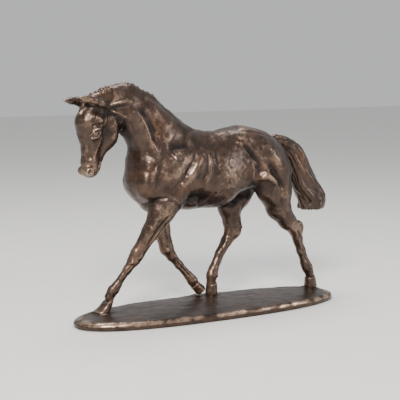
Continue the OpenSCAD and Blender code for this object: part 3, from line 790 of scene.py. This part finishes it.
def casting_object(name, points, faces, clay, smooth):
    mesh = bpy.data.meshes.new(name)
    mesh.from_pydata((points * MM).tolist(), [], faces)
    mesh.validate()
    mesh.polygons.foreach_set("use_smooth", [True] * len(mesh.polygons))
    obj = bpy.data.objects.new("cast_" + name, mesh)
    bpy.context.collection.objects.link(obj)
    mesh.normals_split_custom_set_from_vertices(clay.slope(points).tolist())
    fine, broad = (copy_of_clay.sample(points) for copy_of_clay in smooth)
    # The last layer is rubbed wear, partly painted highlight, plus painted shade in the hollows.
    for layer, values in (("fine_relief", fine), ("broad_relief", broad), ("wear_and_painted_light", wear_and_painted_light(points))):
        attribute = mesh.attributes.new(layer, "FLOAT", "POINT")
        attribute.data.foreach_set("value", values.astype(np.float32))
    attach(obj, "root")
    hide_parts(name)
    return obj


def build_horse():
    boxes = [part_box(name) for name in ("torso", *SEATS)]
    low = np.min([b[0] for b in boxes], axis=0) / MM - 4
    high = np.max([b[1] for b in boxes], axis=0) / MM + 4
    clay = Clay(low, high, VOXEL)
    model_masses(clay)
    model_strokes(clay)
    model_head(clay)
    for name in HOOVES:
        model_hoof(clay, name)
    model_tail(clay)
    model_mane(clay)
    model_marks(clay)
    model_grain(clay)
    vertices, quads = surface(clay.field, clay.low, clay.voxel)
    castings = cut_castings(vertices, quads)
    smooth = smoothed(clay)
    return [casting_object(name, *casting, clay, smooth) for name, casting in castings.items()]


# ---------------------------------------------------------------- base and pad
# How square the oval is: 2 is an ellipse
SQUARENESS = 2.5
# How far the rim lies below the base's highest land, and how far the top rises to its middle
RIM_DROP = 2.2
CROWN = 1.7


def oval(share, turn, half_length, half_width):
    c, s = math.cos(turn), math.sin(turn)
    return (
        share * half_length * math.copysign(abs(c) ** (2 / SQUARENESS), c),
        share * half_width * math.copysign(abs(s) ** (2 / SQUARENESS), s),
    )


def ring_object(name, xyz, around):
    """A smooth closed body from rings of points, the first and the last ring drawn together."""
    n = around
    faces = [
        (k * n + i, k * n + (i + 1) % n, (k + 1) * n + (i + 1) % n, (k + 1) * n + i)
        for k in range(len(xyz) // n - 1)
        for i in range(n)
    ]
    mesh = bpy.data.meshes.new(name)
    mesh.from_pydata((xyz * MM).tolist(), [], faces)
    bm = bmesh.new()
    bm.from_mesh(mesh)
    bmesh.ops.remove_doubles(bm, verts=bm.verts, dist=0.02 * MM)
    bmesh.ops.recalc_face_normals(bm, faces=bm.faces)
    bm.to_mesh(mesh)
    bm.free()
    mesh.polygons.foreach_set("use_smooth", [True] * len(mesh.polygons))
    obj = bpy.data.objects.new(name, mesh)
    bpy.context.collection.objects.link(obj)
    return obj


def build_base():
    """The oval base: lumpy rim, softly crowned top, and a low round land under each hoof."""
    low, high = (np.array(c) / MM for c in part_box("base"))
    half = (high - low)[:2] / 2
    rim = high[2] - RIM_DROP
    around = 320
    profile = [(0.0, 0.0), (0.35, 0.0), (0.7, 0.0), (0.9, 0.0), (0.975, 0.0), (0.992, 0.08), (1.0, 0.22),
               (1.0, 0.4), (0.998, 0.55), (0.992, 0.7), (0.982, 0.82), (0.968, 0.92), (0.95, 0.98)]
    profile += [(s, 1.0) for s in np.linspace(0.93, 0.0, 44)]
    points = []
    for share, height in profile:
        for i in range(around):
            x, y = oval(max(share, 0.004), 2 * math.pi * (i + 0.5) / around, *half)
            top = rim + CROWN * (1 - share * share)
            points.append((x, y, low[2] + height * (top - low[2]), share, height))
    p = np.array(points)
    xyz = p[:, :3].copy()
    edge = np.clip((p[:, 3] - 0.86) / 0.12, 0, 1) * (p[:, 4] > 0)
    lump = lattice_noise(xyz, 9.0, 11) * 0.6 + lattice_noise(xyz, 4.5, 12) * 0.35
    wander = lattice_noise(xyz * (1, 1, 0), 26.0, 17)
    inset = edge * (p[:, 4] < 1) * (1.1 + 0.6 * wander + 0.55 * lump)
    xyz[:, 0] *= 1 - inset / half[0]
    xyz[:, 1] *= 1 - inset / half[1]
    skin = 0.22 * lattice_noise(xyz, 7.0, 13) + 0.12 * lattice_noise(xyz, 3.0, 14)
    xyz[:, 2] += np.where(p[:, 4] >= 0.7, skin + 0.5 * edge * lump, 0)
    raise_lands(xyz, p[:, 4] >= 1)
    obj = ring_object("cast_base", xyz, around)
    shade_base_relief(obj, high[2], half)
    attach(obj, "root")
    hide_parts("base")
    return obj


def raise_lands(xyz, on_top):
    """Lifts the base's top to each hoof's sole, with a soft shoulder around it."""
    for name, (x, y, sole, _) in HOOVES.items():
        sole_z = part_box(name)[0][2] / MM
        gap = np.hypot(xyz[:, 0] - x, xyz[:, 1] - y - HORSE_Y) - (min(sole[3], 7) + 1.2)
        share = np.clip(1 - gap / 1.6, 0, 1) * on_top
        share = share * share * (3 - 2 * share)
        xyz[:, 2] += share * (sole_z + 0.05 - xyz[:, 2])


def shade_base_relief(obj, top, half):
    """Relief and wear for the bronze: the rim is rubbed bright in places, and the top's middle stays dark."""
    mesh = obj.data
    co = np.empty(len(mesh.vertices) * 3)
    mesh.vertices.foreach_get("co", co)
    co = co.reshape(-1, 3) / MM
    across, aside = (np.abs(co[:, i] / half[i]) ** SQUARENESS for i in (0, 1))
    share = (across + aside) ** (1 / SQUARENESS)
    rim = np.exp(-(((share - 0.96) / 0.035) ** 2)) * (co[:, 2] > top * 0.4)
    lump = lattice_noise(co, 7.0, 15) * 0.5 + lattice_noise(co, 2.6, 16) * 0.5
    gold = rim * (0.9 + 1.6 * lump) + 0.25 * np.clip(share - 0.8, 0, 1)
    for layer, values in (("fine_relief", 0.25 * lump), ("broad_relief", 0.1 * lump - 0.05), ("wear_and_painted_light", gold)):
        attribute = mesh.attributes.new(layer, "FLOAT", "POINT")
        attribute.data.foreach_set("value", values.astype(np.float32))


def build_pad():
    """The felt pad under the base, with a slightly furry edge."""
    low, high = (np.array(c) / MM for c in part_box("felt_pad"))
    half = (high - low)[:2] / 2
    around = 240
    profile = [(0.0, 0.0), (0.6, 0.0), (0.985, 0.0), (0.996, 0.15), (1.0, 0.5), (0.996, 0.85),
               (0.985, 1.0), (0.6, 1.0), (0.0, 1.0)]
    points = []
    for share, height in profile:
        for i in range(around):
            x, y = oval(max(share, 0.004), 2 * math.pi * (i + 0.5) / around, *half)
            points.append((x, y, low[2] + height * (high[2] - low[2])))
    xyz = np.array(points)
    fuzz = 1 - 0.002 * (1 + lattice_noise(xyz, 1.2, 21))
    xyz[:, :2] *= fuzz[:, None]
    obj = ring_object("pad_of_felt", xyz, around)
    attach(obj, "root")
    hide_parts("felt_pad")
    return obj


# ---------------------------------------------------------------- materials
class Nodes:
    """A short way to build a node tree: call it with a node type, its settings and its inputs."""

    def __init__(self, name):
        self.material = bpy.data.materials.new(name)
        self.material.use_nodes = True
        self.tree = self.material.node_tree
        self.tree.nodes.clear()

    def __call__(self, kind, inputs=None, **settings):
        node = self.tree.nodes.new("ShaderNode" + kind)
        for key, value in settings.items():
            setattr(node, key, value)
        for key, value in (inputs or {}).items():
            socket = node.inputs[key]
            if isinstance(value, bpy.types.NodeSocket):
                self.tree.links.new(value, socket)
            else:
                socket.default_value = value
        return node

    def math(self, operation, a, b):
        return self("Math", {0: a, 1: b}, operation=operation).outputs[0]

    def noise(self, where, scale, detail=3.0, rough=0.55, distortion=0.0):
        node = self("TexNoise", {"Vector": where, "Scale": scale, "Detail": detail, "Roughness": rough,
                                 "Distortion": distortion})
        return node.outputs["Fac"]

    def span(self, value, low, high, to_low=0.0, to_high=1.0):
        node = self("MapRange", {"Value": value, "From Min": low, "From Max": high,
                                 "To Min": to_low, "To Max": to_high}, clamp=True)
        return node.outputs["Result"]

    def blend(self, factor, a, b):
        node = self.tree.nodes.new("ShaderNodeMix")
        node.data_type = "RGBA"
        for index, value in ((0, factor), (6, a), (7, b)):
            socket = node.inputs[index]
            if isinstance(value, bpy.types.NodeSocket):
                self.tree.links.new(value, socket)
            else:
                socket.default_value = value
        return node.outputs[2]

    def finish(self, surface):
        out = self("OutputMaterial")
        self.tree.links.new(surface, out.inputs["Surface"])
        return self.material


def bronze_material():
    """Dark brown patina, near black in the hollows and rubbed to warm bronze where it stands proud; broad
    hollows and dark patches are painted shade, and bright patches are partly a painted highlight.
    """
    n = Nodes("patinated_bronze")
    where = n("TexCoord").outputs["Object"]
    fine = n("Attribute", attribute_name="fine_relief").outputs["Fac"]
    broad = n("Attribute", attribute_name="broad_relief").outputs["Fac"]
    patches = n.noise(where, 55, 4, 0.6, 0.5)
    flecks = n.noise(where, 420, 3, 0.7)
    drawn_down = n("Mapping", {"Vector": where, "Scale": (1.0, 1.0, 0.35)}).outputs[0]
    streaks = n.noise(drawn_down, 150, 4, 0.65, 0.8)
    uneven = n.math("ADD", n.math("MULTIPLY", n.math("SUBTRACT", patches, 0.5), 0.7),
                    n.math("MULTIPLY", n.math("SUBTRACT", flecks, 0.5), 0.45))
    # Rubbed wear from the patches, which is partly a painted highlight, and painted shade where the patches
    # fall below zero.
    worn_and_painted_light = n("Attribute", attribute_name="wear_and_painted_light").outputs["Fac"]
    proud = n.math("ADD", n.span(fine, -0.6, 0.4, -0.9, 0.6), n.span(broad, -1.0, 0.75, -0.4, 0.3))
    proud = n.math("ADD", proud, worn_and_painted_light)
    # Painted shade: broad relief and the dark patches darken recesses as shadow would; the fine relief gives
    # the real darker patina in small hollows.
    sunk = n.math("ADD", n.math("MULTIPLY", fine, 0.9), n.math("MULTIPLY", broad, 0.8))
    sunk = n.math("ADD", sunk, worn_and_painted_light)
    # Copper where the patina is rubbed from proud relief, and painted highlight where the bright patches
    # raise it.
    rubbed_and_painted_highlight = n.span(n.math("ADD", proud, uneven), 0.3, 1.35)
    hollow = n.span(n.math("ADD", sunk, n.math("MULTIPLY", uneven, 0.3)), 0.0, -0.85)
    patina = n.blend(n.span(streaks, 0.35, 0.68), (0.044, 0.028, 0.021, 1), (0.085, 0.054, 0.040, 1))
    patina = n.blend(n.span(patches, 0.5, 0.8), patina, (0.12, 0.060, 0.036, 1))
    copper = n.blend(flecks, (0.36, 0.24, 0.165, 1), (0.58, 0.41, 0.30, 1))
    colour = n.blend(rubbed_and_painted_highlight, patina, copper)
    # Near black: darker patina in fine recesses, painted shade in broad recesses and dark patches.
    colour = n.blend(n.math("MULTIPLY", hollow, 0.85), colour, (0.012, 0.009, 0.008, 1))
    grain = n.math("MULTIPLY", n.math("SUBTRACT", flecks, 0.5), 0.22)
    rough = n.math("ADD", n.span(rubbed_and_painted_highlight, 0, 1, 0.36, 0.27), grain)
    rough = n.math("ADD", rough, n.math("MULTIPLY", hollow, 0.2))
    pits = n.noise(where, 900, 4, 0.6)
    hammer = n("TexVoronoi", {"Vector": where, "Scale": 260.0}, feature="SMOOTH_F1").outputs["Distance"]
    height = n.math("ADD", n.math("MULTIPLY", pits, 0.3), n.math("MULTIPLY", hammer, 0.35))
    height = n.math("ADD", height, n.math("MULTIPLY", streaks, 0.4))
    bump = n("Bump", {"Height": height, "Strength": 0.28, "Distance": 0.0005}).outputs[0]
    shader = n("BsdfPrincipled", {"Base Color": colour, "Roughness": rough, "Normal": bump,
                                  "Metallic": n.span(rubbed_and_painted_highlight, 0, 1, 0.82, 1.0)})
    shader.inputs["Coat Weight"].default_value = 0.18
    shader.inputs["Coat Roughness"].default_value = 0.28
    return n.finish(shader.outputs[0])


def felt_material():
    n = Nodes("black_felt")
    where = n("TexCoord").outputs["Object"]
    fibres = n.noise(where, 2600, 5, 0.75, 1.2)
    clumps = n.noise(where, 260, 3)
    colour = n.blend(n.math("MULTIPLY", fibres, clumps), (0.012, 0.013, 0.012, 1), (0.075, 0.078, 0.072, 1))
    bump = n("Bump", {"Height": fibres, "Strength": 0.6, "Distance": 0.0004}).outputs[0]
    shader = n("BsdfPrincipled", {"Base Color": colour, "Roughness": 0.95, "Normal": bump})
    shader.inputs["Sheen Weight"].default_value = 0.4
    return n.finish(shader.outputs[0])


def machined_material(name, light, dark, roughness):
    """Turned or pressed metal with fine lines round its axis and a few smudges."""
    n = Nodes(name)
    where = n("TexCoord").outputs["Object"]
    lines = n.noise(n("Mapping", {"Vector": where, "Scale": (1, 1, 14)}).outputs[0], 900, 3, 0.6)
    smudges = n.noise(where, 300, 3, 0.6)
    colour = n.blend(n.span(smudges, 0.35, 0.7), light, dark)
    rough = n.span(smudges, 0.3, 0.7, roughness, roughness + 0.15)
    bump = n("Bump", {"Height": lines, "Strength": 0.2, "Distance": 0.0002}).outputs[0]
    shader = n("BsdfPrincipled", {"Base Color": colour, "Roughness": rough, "Normal": bump, "Metallic": 1.0})
    return n.finish(shader.outputs[0])


def dress(obj, material):
    obj.data.materials.clear()
    obj.data.materials.append(material)


def dress_fasteners(bronze):
    """The CAD's pins, studs, nuts, washers and plugs stay, each with its own metal."""
    brass = machined_material("pin_brass", (0.78, 0.57, 0.27, 1), (0.55, 0.38, 0.17, 1), 0.28)
    steel = machined_material("zinced_steel", (0.66, 0.67, 0.68, 1), (0.45, 0.46, 0.48, 1), 0.3)
    finish = {"dowel": brass, "stud": steel, "plug": bronze}
    for name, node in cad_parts.items():
        for word, material in finish.items():
            if word in name:
                for place in node.material_slots:
                    place.material = material
                if not node.material_slots:
                    node.data.materials.append(material)


# ---------------------------------------------------------------- stage
def build_stage():
    floor = bpy.data.meshes.new("floor")
    half = 3.0
    corners = [(-half, -half, 0), (half, -half, 0), (half, half, 0), (-half, half, 0)]
    floor.from_pydata(corners, [], [(0, 1, 2, 3)])
    obj = bpy.data.objects.new("floor", floor)
    bpy.context.collection.objects.link(obj)
    n = Nodes("pale_floor")
    speck = n.noise(n("TexCoord").outputs["Object"], 40, 3)
    colour = n.blend(speck, (0.78, 0.77, 0.75, 1), (0.84, 0.83, 0.81, 1))
    dress(obj, n.finish(n("BsdfPrincipled", {"Base Color": colour, "Roughness": 0.7}).outputs[0]))


def area_light(name, place, target, size, power, colour=(1, 1, 1)):
    data = bpy.data.lights.new(name, "AREA")
    data.shape = "RECTANGLE"
    data.size, data.size_y = size
    data.energy = power
    data.color = colour
    lamp = bpy.data.objects.new(name, data)
    lamp.location = place
    lamp.rotation_euler = (Vector(target) - Vector(place)).to_track_quat("-Z", "Y").to_euler()
    bpy.context.collection.objects.link(lamp)


def build_light():
    middle = (0, 0.02, 0.11)
    area_light("key", (-0.55, -0.75, 0.8), middle, (0.35, 0.3), 17.0, (1.0, 0.95, 0.89))
    area_light("side", (0.75, -0.6, 0.4), middle, (0.25, 0.5), 3.0, (0.95, 0.97, 1.0))
    area_light("top", (0.05, 0.3, 1.0), middle, (0.5, 0.4), 6.0)
    world = bpy.data.worlds.new("studio")
    world.use_nodes = True
    world.node_tree.nodes["Background"].inputs["Color"].default_value = (0.93, 0.94, 0.95, 1)
    world.node_tree.nodes["Background"].inputs["Strength"].default_value = 0.62
    bpy.context.scene.world = world


def build_camera():
    """A long lens from the horse's near side, ahead of square and a little above."""
    azimuth, elevation, distance = math.radians(-28), math.radians(8), 0.9
    level = Vector((math.sin(azimuth), -math.cos(azimuth), 0))
    back = level * math.cos(elevation) + Vector((0, 0, math.sin(elevation)))
    right = Vector((math.cos(azimuth), math.sin(azimuth), 0))
    left_of_middle, height = 0.0086, 0.1008
    aim = right * -left_of_middle + Vector((0, 0, height))
    data = bpy.data.cameras.new("camera")
    data.sensor_width = 36
    data.lens = 91.35
    camera = bpy.data.objects.new("camera", data)
    camera.location = aim + back * distance
    camera.rotation_euler = (-back).to_track_quat("-Z", "Y").to_euler()
    bpy.context.collection.objects.link(camera)
    bpy.context.scene.camera = camera


def main():
    build_camera()
    build_stage()
    build_light()
    bronze = bronze_material()
    for obj in build_horse():
        dress(obj, bronze)
    dress(build_base(), bronze)
    dress(build_pad(), felt_material())
    dress_fasteners(bronze)


main()
